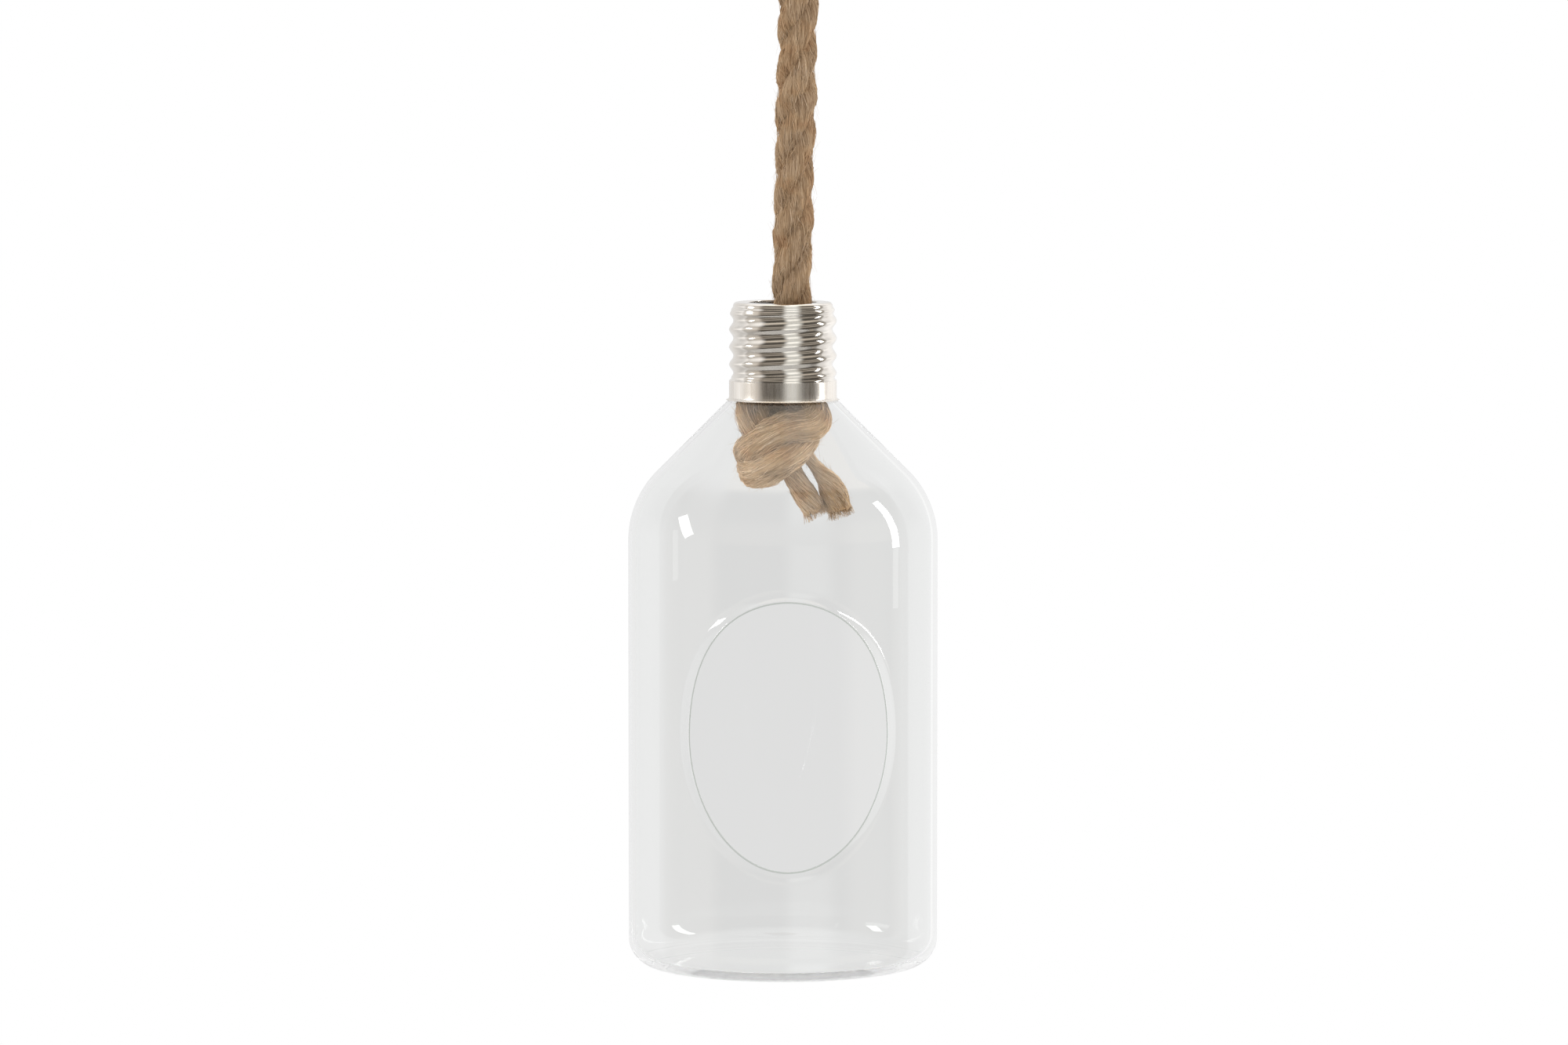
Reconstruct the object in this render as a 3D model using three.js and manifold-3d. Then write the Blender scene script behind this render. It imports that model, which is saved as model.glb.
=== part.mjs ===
// Hanging glass bottle planter: a clear bottle with an oval opening in its front wall, a threaded
// metal cap cemented on its neck, and a jute rope that holds it by a stopper knot under the neck.
// Millimetres, +Z up. The opening faces -Y. The origin is where a hook bears in the rope's eye.
import * as THREE from "three";
import { mergeVertices } from "three/addons/utils/BufferGeometryUtils.js";
import Module from "manifold-3d";

const wasm = await Module();
wasm.setup();

// Driving dimensions of the metal cap
const capCrestDiameter = 38.9;
const capThreadDepth = 1.5;
const capThreadPitch = 6.35;
const capThreadPhase = -3.56;
const capThreadRunOut = 2.1;
const capSheet = 0.5;
const capHoleDiameter = 25;
const capShoulderDiameter = 36;
const capRollRadius = 1.4;
const capThreadHeight = 25;
const capBandHeight = 6.4;
const capLipReach = 1.1;

// Driving dimensions of the glass bottle
const bottleDiameter = 112;
const bottleWall = 2.2;
const bottleBodyHeight = 205.7;
const baseThickness = 3.2;
const baseCornerRadius = 10;
const shoulderAngle = (45 * Math.PI) / 180;
const shoulderArcRadius = 35.5;
const neckStandoff = 5;

// Driving dimensions of the oval opening and its outward flared lip
const openingWidth = 69.5;
const openingHeight = 97;
const openingSideOffset = 2.2;
const openingDrop = 116.7;
const openingTopFullness = 0.14;
const lipReach = 4.8;
const lipProud = 3.4;
const lipThickness = 1.7;
const lipRoot = 1.5;

// Driving dimensions of the cement between neck and cap
const cementThickness = 1.2;
const cementHeight = 16;
const cementTopOffset = 8;

// Driving dimensions of the rope, its eye's seizing and its knot
const ropeDiameter = 14.2;
const ropeDrop = 212;
const ropeLean = 0.0225;
const neckRopeX = 2.6;
const frontHingeZ = -112;
const sideHingeZ = -134;
const standingLegX = 5.9;
const eyeLegGap = 0.5;
const twineDiameter = 2;
const seizingTurns = 8;
const seizingPitch = 2.6;
const seizingTopZ = -69;
const knotTopRise = 13.3;
const knotRopeDiameter = 11.6;
const knotHeartSize = [14, 10.4, 16.2];
const knotHeartPlace = [-1.4, -2.4, -13.3];
const tailStrandDiameter = 4.7;
const tailStrandGap = 0.4;

// Clearance left between pieces that touch
const seatGap = 0.3;

// Facets
const bottleSegments = 48;
const capSegments = 32;
const threadRowsPerTurn = 6;
const openingSegments = 48;
const ropeSides = 10;
const knotSides = 8;
const twineSides = 6;
const stepsPerTurn = 24;
const arcSteps = 5;
const eyeSteps = 44;
const knotStretches = 4;
const stretchOverlap = 0.02;
const stretchSteps = 12;
const tailSteps = 7;

// Levels that follow from the driving dimensions
const capTopZ = -ropeDrop;
const capThreadTopZ = capTopZ - 2 * capRollRadius;
const capThreadBottomZ = capThreadTopZ - capThreadHeight;
const capBandBottomZ = capThreadBottomZ - capBandHeight;
const capLipZ = capBandBottomZ - capLipReach;
const baseZ = capLipZ - bottleBodyHeight;
const neckTopZ = capTopZ - neckStandoff;
const openingZ = capLipZ - openingDrop;
const ropeBottomZ = capLipZ + knotTopRise;

// Radii that follow from the driving dimensions
const capBandRadius = capCrestDiameter / 2;
const threadMeanRadius = (capCrestDiameter - capThreadDepth) / 2;
const capValleyInner = threadMeanRadius - capThreadDepth / 2 - capSheet;
const neckRadius = capValleyInner - cementThickness - 2 * seatGap;
const bottleRadius = bottleDiameter / 2;
const ropeRadius = ropeDiameter / 2;
const shortLegX = standingLegX - ropeDiameter - eyeLegGap;

const glassLook = new THREE.MeshStandardMaterial({ color: 0xe6eae8, roughness: 0.05, metalness: 0 });
const nickelLook = new THREE.MeshStandardMaterial({ color: 0xb9b4ac, roughness: 0.18, metalness: 1 });
const cementLook = new THREE.MeshStandardMaterial({ color: 0xcfccc4, roughness: 0.8, metalness: 0 });
const juteLook = new THREE.MeshStandardMaterial({ color: 0x9a8066, roughness: 0.95, metalness: 0 });
const twineLook = new THREE.MeshStandardMaterial({ color: 0x8a7050, roughness: 0.95, metalness: 0 });

// A closed geometry as a solid for joining and cutting.
function toSolid(geometry) {
  const bare = geometry.index ? geometry.toNonIndexed() : geometry.clone();
  bare.deleteAttribute("normal");
  bare.deleteAttribute("uv");
  const merged = mergeVertices(bare, 1e-4);
  const vertProperties = merged.attributes.position.array;
  const triVerts = new Uint32Array(merged.index.array);
  return new wasm.Manifold(new wasm.Mesh({ numProp: 3, vertProperties, triVerts }));
}

function toGeometry(solid) {
  const mesh = solid.getMesh();
  const geometry = new THREE.BufferGeometry();
  geometry.setAttribute("position", new THREE.BufferAttribute(mesh.vertProperties, 3));
  geometry.setIndex(new THREE.BufferAttribute(mesh.triVerts, 1));
  geometry.computeVertexNormals();
  return geometry;
}

// A profile of [radius, z] points turned about Z.
function turned(profile, segments) {
  const points = profile.map(([r, z]) => new THREE.Vector2(r, z));
  const geometry = new THREE.LatheGeometry(points, segments);
  return geometry.rotateX(Math.PI / 2);
}

// Points of an arc in [radius, z], with angles in radians from the radial direction.
function arcPoints(centreR, centreZ, radius, from, to, steps) {
  const points = [];
  for (let i = 0; i <= steps; i++) {
    const angle = from + ((to - from) * i) / steps;
    points.push([centreR + radius * Math.cos(angle), centreZ + radius * Math.sin(angle)]);
  }
  return points;
}

function polygon(radius, sides) {
  const points = [];
  for (let i = 0; i < sides; i++) {
    const angle = (2 * Math.PI * i) / sides;
    points.push(new THREE.Vector2(radius * Math.cos(angle), radius * Math.sin(angle)));
  }
  return new THREE.Shape(points);
}

function route(points) {
  return new THREE.CatmullRomCurve3(points.map(([x, y, z]) => new THREE.Vector3(x, y, z)));
}

function tubeAlong(curve, radius, sides, steps) {
  const settings = { steps, extrudePath: curve, bevelEnabled: false };
  return new THREE.ExtrudeGeometry(polygon(radius, sides), settings);
}

// The stretch of a curve between two shares of its length.
class Stretch extends THREE.Curve {
  constructor(base, from, to) {
    super();
    Object.assign(this, { base, from, to });
  }

  getPoint(t, target = new THREE.Vector3()) {
    return target.copy(this.base.getPointAt(this.from + (this.to - this.from) * t));
  }
}

// Outer and inner outline of the bottle, one wall apart: neck, cone, shoulder arc, side and base.
function shoulderOutline(inset) {
  const run = [Math.sin(shoulderAngle), Math.cos(shoulderAngle)];
  const coneR = capBandRadius - capSheet - seatGap / run[0] - inset * run[0];
  const coneZ = capBandBottomZ - inset * run[1];
  const radius = bottleRadius - inset;
  const arc = shoulderArcRadius - inset;
  const arcCentreR = radius - arc;
  const slope = Math.tan(shoulderAngle);
  const arcCentreZ = coneZ - (arcCentreR + arc * run[0] - coneR) * slope - arc * run[1];
  const neckR = neckRadius - inset;
  const throatZ = coneZ + (coneR - neckR) * slope;
  const bend = arcPoints(arcCentreR, arcCentreZ, arc, Math.PI / 2 - shoulderAngle, 0, arcSteps);
  return [[neckR, throatZ], ...bend];
}

function bottleShell() {
  const innerCorner = baseCornerRadius - bottleWall;
  const floorZ = baseZ + baseThickness;
  const quarter = Math.PI / 2;
  const cornerR = bottleRadius - baseCornerRadius;
  const outerBase = arcPoints(cornerR, baseZ + baseCornerRadius, baseCornerRadius, -quarter, 0, arcSteps);
  const innerBase = arcPoints(cornerR, floorZ + innerCorner, innerCorner, 0, -quarter, arcSteps);
  const rimR = neckRadius - bottleWall / 2;
  const rim = arcPoints(rimR, neckTopZ - bottleWall / 2, bottleWall / 2, 0, Math.PI, arcSteps);
  const outer = shoulderOutline(0).reverse();
  const inner = shoulderOutline(bottleWall);
  const profile = [[0, baseZ], ...outerBase, ...outer, ...rim, ...inner, ...innerBase, [0, floorZ]];
  return toSolid(turned(profile, bottleSegments));
}

// A point of the oval, grown by a margin, on the middle of the bottle's wall.
function ovalPoint(turn, margin) {
  const lift = Math.sin(turn);
  const fullness = lift > 0 ? 1 + openingTopFullness * lift * lift : 1;
  const x = openingSideOffset + (openingWidth / 2 + margin) * Math.cos(turn) * fullness;
  const z = openingZ + (openingHeight / 2 + margin) * lift;
  return new THREE.Vector3(x, -Math.sqrt((bottleRadius - bottleWall / 2) ** 2 - x * x), z);
}

function openingCutter(margin) {
  const outline = [];
  for (let i = 0; i < openingSegments; i++) {
    const point = ovalPoint((2 * Math.PI * i) / openingSegments, margin);
    outline.push(new THREE.Vector2(point.x, point.z));
  }
  const settings = { depth: bottleRadius + 2 * lipProud, bevelEnabled: false };
  const prism = new THREE.ExtrudeGeometry(new THREE.Shape(outline), settings);
  return toSolid(prism.rotateX(Math.PI / 2));
}

// Section of the lip as [away from the opening, out of the wall]: the wall bends outwards to a round edge.
function lipSection() {
  const half = lipThickness / 2;
  const outside = [];
  const inside = [];
  for (let i = 0; i <= arcSteps; i++) {
    const bend = (Math.PI / 2) * (i / arcSteps);
    const away = lipReach * (1 - Math.sin(bend));
    const out = lipProud * (1 - Math.cos(bend));
    outside.push([away + half * Math.sin(bend), out + half * Math.cos(bend)]);
    inside.unshift([away - half * Math.sin(bend), out - half * Math.cos(bend)]);
  }
  const rootOut = [lipReach + lipRoot, half];
  const rootIn = [lipReach + lipRoot, -half];
  return [rootOut, ...outside, [0, lipProud + half], ...inside, rootIn];
}

function openingLip() {
  const section = lipSection();
  const positions = [];
  const index = [];
  const span = 1e-3;
  for (let i = 0; i < openingSegments; i++) {
    const turn = (2 * Math.PI * i) / openingSegments;
    const foot = ovalPoint(turn, 0);
    const along = ovalPoint(turn + span, 0).sub(ovalPoint(turn - span, 0)).normalize();
    const out = new THREE.Vector3(foot.x, foot.y, 0).normalize();
    const away = new THREE.Vector3().crossVectors(out, along).normalize();
    if (away.x * (foot.x - openingSideOffset) + away.z * (foot.z - openingZ) < 0) away.negate();
    for (const [far, proud] of section) {
      const point = foot.clone().addScaledVector(away, far).addScaledVector(out, proud);
      positions.push(point.x, point.y, point.z);
    }
  }
  const count = section.length;
  for (let i = 0; i < openingSegments; i++) {
    const next = (i + 1) % openingSegments;
    for (let j = 0; j < count; j++) {
      const k = (j + 1) % count;
      const [a, b, c, d] = [i * count + j, i * count + k, next * count + j, next * count + k];
      index.push(a, c, b, b, c, d);
    }
  }
  const geometry = new THREE.BufferGeometry();
  geometry.setAttribute("position", new THREE.Float32BufferAttribute(positions, 3));
  geometry.setIndex(index);
  return toSolid(geometry);
}

function glassBottle() {
  const cut = bottleShell().subtract(openingCutter(lipReach - lipRoot));
  return toGeometry(cut.add(openingLip()));
}

// How far the thread has come out of the plain wall at a level, from 0 to 1.
function threadShare(z) {
  const share = Math.min(capThreadTopZ - z, z - capThreadBottomZ) / capThreadRunOut;
  return THREE.MathUtils.smoothstep(share, 0, 1);
}

// One face of the cap's sheet, from the hole over the rolled top, down the wall and out to the lip.
function capFace(inset) {
  const rollR = capShoulderDiameter / 2 - capRollRadius;
  const roll = arcPoints(rollR, capTopZ - capRollRadius, capRollRadius - inset, Math.PI / 2, 0, arcSteps);
  const rows = Math.round((capThreadHeight / capThreadPitch) * threadRowsPerTurn);
  const thread = [];
  for (let i = 0; i <= rows; i++) {
    thread.push([threadMeanRadius - inset, capThreadTopZ - (capThreadHeight * i) / rows]);
  }
  const bandTop = [capBandRadius - inset, capThreadBottomZ - capSheet];
  const bandFoot = [capBandRadius - inset, capBandBottomZ];
  const lipEdge = [capBandRadius + capLipReach - inset, capLipZ];
  return [[capHoleDiameter / 2, capTopZ - inset], ...roll, ...thread, bandTop, bandFoot, lipEdge];
}

// The cap is one pressed sheet, whose wall is then moved in and out along the thread's helix.
function threadedCap() {
  const outer = capFace(0);
  const inner = capFace(capSheet);
  const profile = [outer[0], ...inner, ...outer.reverse()];
  const geometry = turned(profile, capSegments);
  const position = geometry.getAttribute("position");
  const depth = capThreadDepth / 2;
  for (let i = 0; i < position.count; i++) {
    const [x, y, z] = [position.getX(i), position.getY(i), position.getZ(i)];
    const climb = (z - capTopZ - capThreadPhase) / capThreadPitch;
    const turnShare = Math.atan2(y, x) / (2 * Math.PI) - 0.5;
    const radius = Math.hypot(x, y);
    const grown = radius + depth * threadShare(z) * Math.cos(2 * Math.PI * (climb - turnShare));
    position.setXY(i, (x * grown) / radius, (y * grown) / radius);
  }
  return geometry;
}

function neckCement() {
  const innerR = neckRadius + seatGap;
  const outerR = innerR + cementThickness;
  const topZ = capTopZ - cementTopOffset;
  const bottomZ = topZ - cementHeight;
  const profile = [[innerR, topZ], [innerR, bottomZ], [outerR, bottomZ], [outerR, topZ], [innerR, topZ]];
  return turned(profile, capSegments);
}

// The eye: from the short end up its left leg, round the bearing point and down the standing leg.
const eyeRoute = [
  [shortLegX, 0, -97],
  [shortLegX, 0, -90],
  [shortLegX, 0, -80],
  [shortLegX, 0, -70],
  [-9.6, 0, -60],
  [-13.6, 0, -49],
  [-20.4, 0, -38],
  [-25.6, 0, -27],
  [-26.9, 0, -15],
  [-23, 0, -4.6],
  [-13.6, 0, 3.8],
  [0, 0, ropeRadius],
  [13.6, 0, 3.8],
  [23, 0, -4.6],
  [26.9, 0, -15],
  [25, 0, -27],
  [19, 0, -38],
  [11.4, 0, -49],
  [6.9, 0, -60],
  [standingLegX, 0, -70],
  [standingLegX, 0, -84],
];

// Place of the straight rope at a level: below the eye it leans a little, down into the neck.
function standingPoint(z) {
  return [neckRopeX + ropeLean * (z - ropeBottomZ), 0, z];
}

function ropeEye() {
  const end = standingPoint(frontHingeZ + ropeRadius + seatGap);
  return tubeAlong(route([...eyeRoute, end]), ropeRadius, ropeSides, eyeSteps);
}

// A straight stretch of rope that turns on a round end at its top.
function hingedRope(topZ, bottomZ) {
  const [top, bottom] = [topZ, bottomZ].map((z) => new THREE.Vector3(...standingPoint(z)));
  const knuckle = new THREE.SphereGeometry(ropeRadius, ropeSides, ropeSides);
  knuckle.translate(...standingPoint(topZ));
  const tube = tubeAlong(new THREE.LineCurve3(top, bottom), ropeRadius, ropeSides, 1);
  return toGeometry(toSolid(tube).add(toSolid(knuckle)));
}

// Twine wound round both legs of the eye: a helix on a track with two half rounds and two straights.
function seizingPoints() {
  const [right, left] = [standingLegX, shortLegX];
  const radius = ropeRadius + seatGap + twineDiameter / 2;
  const half = Math.PI * radius;
  const length = 2 * half + 2 * (right - left);
  const points = [];
  const steps = seizingTurns * stepsPerTurn;
  for (let i = 0; i <= steps; i++) {
    const run = ((i / stepsPerTurn) % 1) * length;
    const z = seizingTopZ - (seizingPitch * i) / stepsPerTurn;
    if (run < half) {
      const angle = run / radius - Math.PI / 2;
      points.push([right + radius * Math.cos(angle), radius * Math.sin(angle), z]);
    } else if (run < half + right - left) {
      points.push([right - (run - half), radius, z]);
    } else if (run < 2 * half + right - left) {
      const angle = (run - half - (right - left)) / radius + Math.PI / 2;
      points.push([left + radius * Math.cos(angle), radius * Math.sin(angle), z]);
    } else {
      points.push([left + (run - 2 * half - (right - left)), -radius, z]);
    }
  }
  return points;
}

// Least distance between points of a winding that are at least half a turn apart, less its diameter.
function leastGap(points, apart, diameter) {
  let least = Infinity;
  for (let i = 0; i < points.length; i++) {
    for (let j = i + apart; j < points.length; j++) {
      least = Math.min(least, new THREE.Vector3(...points[i]).distanceTo(new THREE.Vector3(...points[j])));
    }
  }
  return least - diameter;
}

function eyeSeizing() {
  const points = seizingPoints();
  const gap = leastGap(points, stepsPerTurn / 2, twineDiameter);
  console.log("seizing's least gap to itself, mm:", gap.toFixed(2));
  return tubeAlong(route(points), twineDiameter / 2, twineSides, points.length - 1);
}

// The stopper knot's route, with levels from the cap's lip: out of the neck, over the front and round.
const knotRoute = [
  [neckRopeX, 0, knotTopRise - seatGap],
  [neckRopeX, 0, 8.3],
  [4.8, -1.8, 3.3],
  [8, -4, -1.3],
  [10.6, -7, -5.7],
  [6.6, -10.4, -8.1],
  [0.4, -9.6, -8.7],
  [-4.6, -5, -10.3],
  [-7.6, 1.6, -13.9],
  [-9.4, 3.4, -19.7],
  [-9.8, -1.4, -24.7],
  [-5.4, -7.4, -24.3],
  [0.6, -10.2, -20.7],
  [6, -6.6, -15.3],
  [6.8, 0, -9.7],
  [3.2, 5, -4.9],
  [-3.4, 5.6, -2.3],
  [-9.4, 1.2, -2.3],
  [-11.6, -5.2, -5.7],
  [-9.8, -7.8, -11.9],
  [-5.4, -3.4, -17.1],
  [-1, 0.6, -19.7],
  [3.6, 2.4, -22.3],
  [7.6, 2, -25.5],
];

// Points whose levels are counted from the cap's lip.
function belowLip(points) {
  return points.map(([x, y, z]) => [x, y, capLipZ + z]);
}

// The knot's turns press into each other, so they are joined, and the hollows that they close are filled.
function stopperKnot() {
  const curve = route(belowLip(knotRoute));
  const heart = new THREE.SphereGeometry(0.5, knotSides, knotSides);
  heart.scale(...knotHeartSize).translate(...belowLip([knotHeartPlace])[0]);
  let knot = toSolid(heart);
  for (let i = 0; i < knotStretches; i++) {
    const from = Math.max(0, i / knotStretches - stretchOverlap);
    const stretch = new Stretch(curve, from, (i + 1) / knotStretches);
    knot = knot.add(toSolid(tubeAlong(stretch, knotRopeDiameter / 2, knotSides, stretchSteps)));
  }
  return toGeometry(knot.decompose().reduce((a, b) => (a.volume() > b.volume() ? a : b)));
}

// The unlaid strands of the rope's end, which fan out below the knot.
const tailRoutes = [
  [
    [16.6, 0.6, -30.3],
    [19.6, -0.4, -35.9],
    [21.4, -1.4, -42.5],
  ],
  [
    [13.6, 4.6, -32.7],
    [16, 5.2, -37.1],
    [17.8, 5.6, -41.1],
  ],
  [
    [12.2, -1.6, -33.7],
    [13.6, -2, -37.7],
    [14.6, -2.2, -42.1],
  ],
];

function tailStrand(number) {
  const curve = route(belowLip(knotRoute));
  const end = curve.getPoint(1);
  const heading = curve.getTangent(1);
  const sideways = new THREE.Vector3(0, 1, 0).cross(heading).normalize();
  const upright = new THREE.Vector3().crossVectors(heading, sideways);
  const spread = (tailStrandDiameter + tailStrandGap) / Math.sqrt(3);
  const angle = (2 * Math.PI * number) / tailRoutes.length - Math.PI / 2;
  const start = end.clone().addScaledVector(heading, seatGap);
  start.addScaledVector(sideways, spread * Math.sin(angle));
  start.addScaledVector(upright, spread * Math.cos(angle));
  const straight = start.clone().addScaledVector(heading, tailStrandDiameter);
  const points = [start.toArray(), straight.toArray(), ...belowLip(tailRoutes[number])];
  return tubeAlong(route(points), tailStrandDiameter / 2, knotSides, tailSteps);
}

const planter = new THREE.Group();

function addPart(name, geometry, material) {
  const mesh = new THREE.Mesh(geometry, material);
  mesh.name = name;
  planter.add(mesh);
}

addPart("glass_bottle", glassBottle(), glassLook);
addPart("threaded_cap", threadedCap(), nickelLook);
addPart("neck_cement", neckCement(), cementLook);
addPart("rope_eye", ropeEye(), juteLook);
addPart("eye_seizing", eyeSeizing(), twineLook);
addPart("rope_link", hingedRope(frontHingeZ, sideHingeZ + ropeRadius + seatGap), juteLook);
addPart("standing_rope", hingedRope(sideHingeZ, ropeBottomZ), juteLook);
addPart("stopper_knot", stopperKnot(), juteLook);
for (let number = 0; number < tailRoutes.length; number++) {
  addPart(`tail_strand_${number + 1}`, tailStrand(number), juteLook);
}

export default planter;
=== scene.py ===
"""Looks of a hanging glass bottle planter: clear bottle, threaded cap and knotted jute rope. Metres, +Z up."""
import math

import bmesh
import bpy
import numpy as np
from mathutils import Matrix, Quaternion, Vector


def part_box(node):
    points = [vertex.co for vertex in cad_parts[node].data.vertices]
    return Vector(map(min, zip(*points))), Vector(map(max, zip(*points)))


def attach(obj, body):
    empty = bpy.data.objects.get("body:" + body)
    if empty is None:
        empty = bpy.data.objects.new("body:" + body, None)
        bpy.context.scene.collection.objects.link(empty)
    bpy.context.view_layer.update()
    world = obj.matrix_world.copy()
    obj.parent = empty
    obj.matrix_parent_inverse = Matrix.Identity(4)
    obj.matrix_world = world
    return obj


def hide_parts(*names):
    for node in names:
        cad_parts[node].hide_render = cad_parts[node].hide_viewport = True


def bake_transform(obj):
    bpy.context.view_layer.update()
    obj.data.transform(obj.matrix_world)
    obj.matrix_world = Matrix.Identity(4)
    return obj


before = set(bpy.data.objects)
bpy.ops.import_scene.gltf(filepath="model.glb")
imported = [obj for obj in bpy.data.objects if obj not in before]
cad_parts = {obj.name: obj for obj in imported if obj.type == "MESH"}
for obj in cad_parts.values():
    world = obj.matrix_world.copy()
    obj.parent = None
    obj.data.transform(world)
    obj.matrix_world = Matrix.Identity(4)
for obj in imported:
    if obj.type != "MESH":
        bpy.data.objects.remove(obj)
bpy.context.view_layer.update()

MM = 0.001
scene = bpy.context.scene
rng = np.random.default_rng(7)


def mm(*values):
    return tuple(value * MM for value in values)



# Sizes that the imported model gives
CAP_LOW, CAP_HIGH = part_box("threaded_cap")
GLASS_LOW, GLASS_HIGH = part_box("glass_bottle")
CAP_TOP_Z = CAP_HIGH.z
CAP_LIP_Z = CAP_LOW.z
BASE_Z = GLASS_LOW.z
NECK_TOP_Z = GLASS_HIGH.z
BOTTLE_RADIUS = GLASS_HIGH.x

# Sizes of the cap
CAP_CREST_RADIUS = 19.45 * MM
THREAD_DEPTH = 1.5 * MM
THREAD_PITCH = 6.35 * MM
THREAD_PHASE = -3.56 * MM
THREAD_RUN_OUT = 2.1 * MM
THREAD_HEIGHT = 25 * MM
CAP_SHEET = 0.5 * MM
CAP_HOLE_RADIUS = 12.5 * MM
CAP_SHOULDER_RADIUS = 18 * MM
CAP_ROLL_RADIUS = 1.4 * MM
CAP_BAND_HEIGHT = 6.4 * MM
CAP_LIP_REACH = 1.1 * MM
THREAD_TOP_Z = CAP_TOP_Z - 2 * CAP_ROLL_RADIUS
THREAD_BOTTOM_Z = THREAD_TOP_Z - THREAD_HEIGHT
BAND_BOTTOM_Z = THREAD_BOTTOM_Z - CAP_BAND_HEIGHT

# Sizes of the bottle
WALL = 2.2 * MM
WALL_MIDDLE = BOTTLE_RADIUS - WALL / 2
SEAT_GAP = 0.3 * MM
NECK_RADIUS = 15.65 * MM
SHOULDER_ARC_RADIUS = 35.5 * MM
SHOULDER_ANGLE = math.radians(45)
BASE_THICKNESS = 3.2 * MM
BASE_CORNER_RADIUS = 10 * MM
PUNT_HEIGHT = 0.2 * MM
PUNT_RADIUS = 34 * MM

# Sizes of the oval opening and its flared lip
OPENING_WIDTH = 69.5 * MM
OPENING_HEIGHT = 97 * MM
OPENING_SIDE_OFFSET = 1.9 * MM
OPENING_Z = CAP_LIP_Z - 116.7 * MM
OPENING_TOP_FULLNESS = 0.14
LIP_BEND_RADIUS = 5.4 * MM
LIP_FLARE = math.radians(62)
LIP_THICKNESS = 1.2 * MM
LIP_LEAN = 0.7

# Sizes of the rope
ROPE_RADIUS = 7.1 * MM
ROPE_LAY = 45 * MM
KNOT_ROPE_RADIUS = 6.4 * MM
TWINE_RADIUS = 1.0 * MM
SEIZING_TURNS = 8
SEIZING_PITCH = 2.6 * MM
SEIZING_TOP_Z = -69 * MM
STANDING_LEG_X = 5.9 * MM
SHORT_LEG_X = -8.8 * MM
ROPE_LEAN = 0.0225
NECK_ROPE_X = 2.6 * MM
ROPE_BOTTOM_Z = CAP_LIP_Z + 13.3 * MM
FRONT_HINGE_Z = -112 * MM
SIDE_HINGE_Z = -134 * MM

# Routes of the rope, in millimetres. The knot's and the tail's levels are counted from the cap's lip.
EYE_ROUTE = [
    (-8.8, 0, -97), (-8.8, 0, -90), (-8.8, 0, -80), (-8.8, 0, -70), (-9.6, 0, -60),
    (-13.6, 0, -49), (-20.4, 0, -38), (-25.6, 0, -27), (-26.9, 0, -15), (-23, 0, -4.6),
    (-13.6, 0, 3.8), (0, 0, 7.1), (13.6, 0, 3.8), (23, 0, -4.6), (26.9, 0, -15),
    (25, 0, -27), (19, 0, -38), (11.4, 0, -49), (6.9, 0, -60), (5.9, 0, -70),
    (5.9, 0, -84),
]
KNOT_ROUTE = [
    (2.6, 0, 13), (2.6, 0, 8.3), (4.6, -0.5, 3.6), (8.6, -2.5, -0.8), (11.3, -6, -6.2),
    (8.5, -9.8, -9), (2.5, -11.2, -9.6), (-4, -10.8, -12.2), (-9.3, -7.4, -15.8), (-11.4, -1, -19.2),
    (-10.5, 3.5, -23), (-10.5, -0.5, -25.6), (-7, -6.5, -25), (-1, -9.8, -21.5), (4.6, -8, -17.6),
    (7.2, -2, -13.5), (5, 4, -8), (-1, 6.5, -3.6), (-7.5, 4, -1.6), (-11.3, -1.5, -3.6),
    (-10.2, -5, -8.4), (-6, -3, -13.8), (-1.5, -0.5, -18.5), (3.5, 1, -22), (6, 1.4, -24),
]
# Each point of a tail has the strand's radius as its fourth number.
TAIL_ROUTES = [
    [
        (3.6, -2, -16, 2.2), (7.6, -2.6, -18.6, 1.9), (10.3, -2.5, -22.2, 1.7), (12.6, -2.4, -25.3, 2.1),
        (15.8, -2.2, -28.8, 3.4), (18.6, -2, -33.6, 4.3), (21, -2, -41, 3.9),
    ],
    [
        (3.8, 2, -17, 2), (7.8, 3.4, -19.2, 1.7), (10.7, 4, -22.8, 1.5), (13.2, 4.4, -26, 1.9),
        (16, 4.8, -30, 3), (17.2, 5.2, -35, 3.4), (17.4, 5.4, -40, 3),
    ],
    [
        (0.4, 0, -20.4, 3.2), (2.8, -1.4, -25, 3.2), (5.6, -2.6, -30.4, 3.4), (8.9, -3, -35.6, 4),
        (12, -3.2, -41, 3.7),
    ],
]

# The photograph's camera
CAMERA_PLACE = (0.4 * MM, -2.65, -72 * MM)
CAMERA_PITCH = math.radians(4.745)
FOCAL_PIXELS = 9368
PHOTO_WIDTH = 2000
SENSOR = 36

# Light of the studio, as metal and glass mirror it. STUDIO_ROUND has its colours by degrees to the right of the
# camera. The levels go by height, as the slope of metal that mirrors it to the camera, 0 for an upright wall.
STUDIO_PALE = (1,) * 3
STUDIO_DARK = (0.105, 0.085, 0.068)
STUDIO_ROUND = [
    (-180, (0.84,) * 3), (-135, (0.86,) * 3), (-112, (1.08,) * 3), (-101, (1.2,) * 3),
    (-98, (0.95, 0.94, 0.93)), (-90, (0.74, 0.72, 0.69)), (-78, (0.86, 0.83, 0.78)),
    (-58, (0.8, 0.75, 0.69)), (-42, STUDIO_DARK), (84, STUDIO_DARK), (91, (0.34, 0.31, 0.27)),
    (97, (0.38, 0.36, 0.32)), (106, (0.5, 0.48, 0.46)), (108.5, (1.12, 1.12, 1.11)),
    (120, (1.2,) * 3), (150, (1.1,) * 3), (180, (0.84,) * 3),
]
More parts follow.
